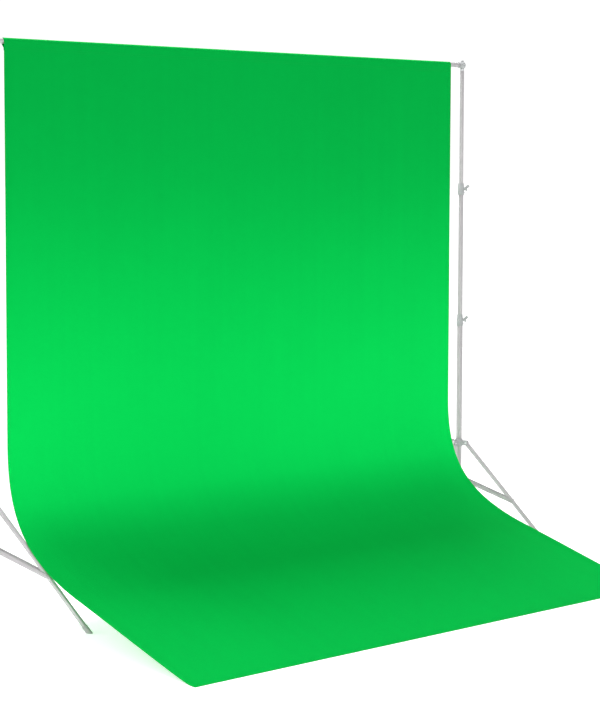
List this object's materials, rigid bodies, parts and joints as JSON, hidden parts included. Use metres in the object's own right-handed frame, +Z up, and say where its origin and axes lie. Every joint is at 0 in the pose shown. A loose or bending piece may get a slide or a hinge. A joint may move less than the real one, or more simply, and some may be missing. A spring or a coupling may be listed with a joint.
{
  "type": "background support system",
  "caption": "Telescopic stands with folding legs hold a crossbar, from which a cloth background sheet hangs and sweeps forward onto the floor.",
  "frame": {"origin": "centre of the whole footprint, on the floor", "axes": "+Z up, +X along the crossbar, the cloth sweeps forward towards -Y"},
  "size_m": [3.7242, 1.8652, 2.6111],
  "materials": {
    "cloth": "matte woven muslin, chroma green",
    "tube_metal": "satin anodised tube",
    "crossbar_metal": "satin anodised tube",
    "leg_metal": "satin anodised tube",
    "brace_metal": "satin flat strap",
    "steel": "plated steel",
    "grey_plastic": "moulded grey plastic",
    "glide_plastic": "pale nylon",
    "rubber": "matte grey rubber"
  },
  "bodies": {
    "root": {"sheet": "cloth", "left_lower_tube": "tube_metal", "left_tube_plug": "rubber", "left_lower_clamp": "grey_plastic", "left_hub": "grey_plastic", "left_brace_pins": "steel", "right_lower_tube": "tube_metal", "right_tube_plug": "rubber", "right_lower_clamp": "grey_plastic", "right_hub": "grey_plastic", "right_brace_pins": "steel"},
    "top_rail": {"crossbar_tube_1": "crossbar_metal", "crossbar_tube_2": "crossbar_metal", "crossbar_tube_3": "crossbar_metal", "crossbar_tube_4": "crossbar_metal", "left_top_tube": "tube_metal", "left_top_glide": "glide_plastic", "left_top_stud": "steel", "left_bar_end": "grey_plastic", "right_top_tube": "tube_metal", "right_top_glide": "glide_plastic", "right_top_stud": "steel", "right_bar_end": "grey_plastic"},
    "left_middle": {"left_middle_tube": "tube_metal", "left_middle_glide": "glide_plastic", "left_upper_clamp": "grey_plastic"},
    "left_spider": {"left_spider": "grey_plastic", "left_pivot_pins": "steel"},
    "left_leg_a": {"left_leg_a": "leg_metal", "left_foot_a": "rubber"},
    "left_brace_a": {"left_brace_a": "brace_metal"},
    "left_leg_b": {"left_leg_b": "leg_metal", "left_foot_b": "rubber"},
    "left_brace_b": {"left_brace_b": "brace_metal"},
    "left_leg_c": {"left_leg_c": "leg_metal", "left_foot_c": "rubber"},
    "left_brace_c": {"left_brace_c": "brace_metal"},
    "left_lower_lever": {"left_lower_lever": "grey_plastic"},
    "left_upper_lever": {"left_upper_lever": "grey_plastic"},
    "left_spider_knob": {"left_spider_knob": "grey_plastic"},
    "left_cap_nut": {"left_cap_nut": "grey_plastic"},
    "right_middle": {"right_middle_tube": "tube_metal", "right_middle_glide": "glide_plastic", "right_upper_clamp": "grey_plastic"},
    "right_spider": {"right_spider": "grey_plastic", "right_pivot_pins": "steel"},
    "right_leg_a": {"right_leg_a": "leg_metal", "right_foot_a": "rubber"},
    "right_brace_a": {"right_brace_a": "brace_metal"},
    "right_leg_b": {"right_leg_b": "leg_metal", "right_foot_b": "rubber"},
    "right_brace_b": {"right_brace_b": "brace_metal"},
    "right_leg_c": {"right_leg_c": "leg_metal", "right_foot_c": "rubber"},
    "right_brace_c": {"right_brace_c": "brace_metal"},
    "right_lower_lever": {"right_lower_lever": "grey_plastic"},
    "right_upper_lever": {"right_upper_lever": "grey_plastic"},
    "right_spider_knob": {"right_spider_knob": "grey_plastic"},
    "right_cap_nut": {"right_cap_nut": "grey_plastic"}
  },
  "joints": [
    {"name": "height", "type": "slide", "parent": "root", "child": "top_rail", "axis": [0, 0, 1], "range_m": [-1.2, 0], "deforming": ["sheet"]},
    {"name": "left_middle_slide", "type": "slide", "parent": "root", "child": "left_middle", "axis": [0, 0, 1], "range_m": [-0.6005, 0]},
    {"name": "left_leg_fold", "type": "slide", "parent": "root", "child": "left_spider", "axis": [0, 0, 1], "range_m": [0, 0.4792]},
    {"name": "left_leg_a_hinge", "type": "hinge", "parent": "left_spider", "child": "left_leg_a", "pos_m": [-1.32229, 0.44646, 0.54], "axis": [0.866, 0.5, 0], "range_deg": [0, 37.71]},
    {"name": "left_brace_a_hinge", "type": "hinge", "parent": "root", "child": "left_brace_a", "pos_m": [-1.32429, 0.44993, 0.34], "axis": [-0.866, -0.5, 0], "range_deg": [0, 106.31]},
    {"name": "left_leg_b_hinge", "type": "hinge", "parent": "left_spider", "child": "left_leg_b", "pos_m": [-1.32229, 0.51575, 0.54], "axis": [-0.866, 0.5, 0], "range_deg": [0, 37.71]},
    {"name": "left_brace_b_hinge", "type": "hinge", "parent": "root", "child": "left_brace_b", "pos_m": [-1.32429, 0.51228, 0.34], "axis": [0.866, -0.5, 0], "range_deg": [0, 106.31]},
    {"name": "left_leg_c_hinge", "type": "hinge", "parent": "left_spider", "child": "left_leg_c", "pos_m": [-1.38229, 0.4811, 0.54], "axis": [0, -1, 0], "range_deg": [0, 37.71]},
    {"name": "left_brace_c_hinge", "type": "hinge", "parent": "root", "child": "left_brace_c", "pos_m": [-1.37829, 0.4811, 0.34], "axis": [0, 1, 0], "range_deg": [0, 106.31]},
    {"name": "left_lower_lever_turn", "type": "hinge", "parent": "root", "child": "left_lower_lever", "pos_m": [-1.34229, 0.4811, 1.212], "axis": [0.766, -0.6428, 0], "range_deg": [0, 360]},
    {"name": "left_upper_lever_turn", "type": "hinge", "parent": "left_middle", "child": "left_upper_lever", "pos_m": [-1.34229, 0.4811, 1.922], "axis": [0.766, -0.6428, 0], "range_deg": [0, 360]},
    {"name": "left_spider_knob_turn", "type": "hinge", "parent": "left_spider", "child": "left_spider_knob", "pos_m": [-1.34229, 0.4811, 0.546], "axis": [-0.5, 0.866, 0], "range_deg": [0, 360]},
    {"name": "left_cap_nut_turn", "type": "hinge", "parent": "top_rail", "child": "left_cap_nut", "pos_m": [-1.34229, 0.4811, 2.5853], "axis": [0, 0, 1], "range_deg": [0, 360]},
    {"name": "right_middle_slide", "type": "slide", "parent": "root", "child": "right_middle", "axis": [0, 0, 1], "range_m": [-0.6005, 0]},
    {"name": "right_leg_fold", "type": "slide", "parent": "root", "child": "right_spider", "axis": [0, 0, 1], "range_m": [0, 0.4792]},
    {"name": "right_leg_a_hinge", "type": "hinge", "parent": "right_spider", "child": "right_leg_a", "pos_m": [1.61671, 0.44646, 0.54], "axis": [0.866, 0.5, 0], "range_deg": [0, 37.71]},
    {"name": "right_brace_a_hinge", "type": "hinge", "parent": "root", "child": "right_brace_a", "pos_m": [1.61471, 0.44993, 0.34], "axis": [-0.866, -0.5, 0], "range_deg": [0, 106.31]},
    {"name": "right_leg_b_hinge", "type": "hinge", "parent": "right_spider", "child": "right_leg_b", "pos_m": [1.61671, 0.51575, 0.54], "axis": [-0.866, 0.5, 0], "range_deg": [0, 37.71]},
    {"name": "right_brace_b_hinge", "type": "hinge", "parent": "root", "child": "right_brace_b", "pos_m": [1.61471, 0.51228, 0.34], "axis": [0.866, -0.5, 0], "range_deg": [0, 106.31]},
    {"name": "right_leg_c_hinge", "type": "hinge", "parent": "right_spider", "child": "right_leg_c", "pos_m": [1.55671, 0.4811, 0.54], "axis": [0, -1, 0], "range_deg": [0, 37.71]},
    {"name": "right_brace_c_hinge", "type": "hinge", "parent": "root", "child": "right_brace_c", "pos_m": [1.56071, 0.4811, 0.34], "axis": [0, 1, 0], "range_deg": [0, 106.31]},
    {"name": "right_lower_lever_turn", "type": "hinge", "parent": "root", "child": "right_lower_lever", "pos_m": [1.59671, 0.4811, 1.212], "axis": [0.766, -0.6428, 0], "range_deg": [0, 360]},
    {"name": "right_upper_lever_turn", "type": "hinge", "parent": "right_middle", "child": "right_upper_lever", "pos_m": [1.59671, 0.4811, 1.922], "axis": [0.766, -0.6428, 0], "range_deg": [0, 360]},
    {"name": "right_spider_knob_turn", "type": "hinge", "parent": "right_spider", "child": "right_spider_knob", "pos_m": [1.59671, 0.4811, 0.546], "axis": [-0.5, 0.866, 0], "range_deg": [0, 360]},
    {"name": "right_cap_nut_turn", "type": "hinge", "parent": "top_rail", "child": "right_cap_nut", "pos_m": [1.59671, 0.4811, 2.5853], "axis": [0, 0, 1], "range_deg": [0, 360]}
  ],
  "couplings": [
    {"joint": "left_middle_slide", "follows": "height", "ratio": 0.5},
    {"joint": "left_leg_a_hinge", "follows": "left_leg_fold", "rad_per_m": 1.3699},
    {"joint": "left_brace_a_hinge", "follows": "left_leg_fold", "rad_per_m": 3.8683},
    {"joint": "left_leg_b_hinge", "follows": "left_leg_fold", "rad_per_m": 1.3699},
    {"joint": "left_brace_b_hinge", "follows": "left_leg_fold", "rad_per_m": 3.8683},
    {"joint": "left_leg_c_hinge", "follows": "left_leg_fold", "rad_per_m": 1.3699},
    {"joint": "left_brace_c_hinge", "follows": "left_leg_fold", "rad_per_m": 3.8683},
    {"joint": "right_middle_slide", "follows": "height", "ratio": 0.5},
    {"joint": "right_leg_a_hinge", "follows": "right_leg_fold", "rad_per_m": 1.3699},
    {"joint": "right_brace_a_hinge", "follows": "right_leg_fold", "rad_per_m": 3.8683},
    {"joint": "right_leg_b_hinge", "follows": "right_leg_fold", "rad_per_m": 1.3699},
    {"joint": "right_brace_b_hinge", "follows": "right_leg_fold", "rad_per_m": 3.8683},
    {"joint": "right_leg_c_hinge", "follows": "right_leg_fold", "rad_per_m": 1.3699},
    {"joint": "right_brace_c_hinge", "follows": "right_leg_fold", "rad_per_m": 3.8683}
  ]
}
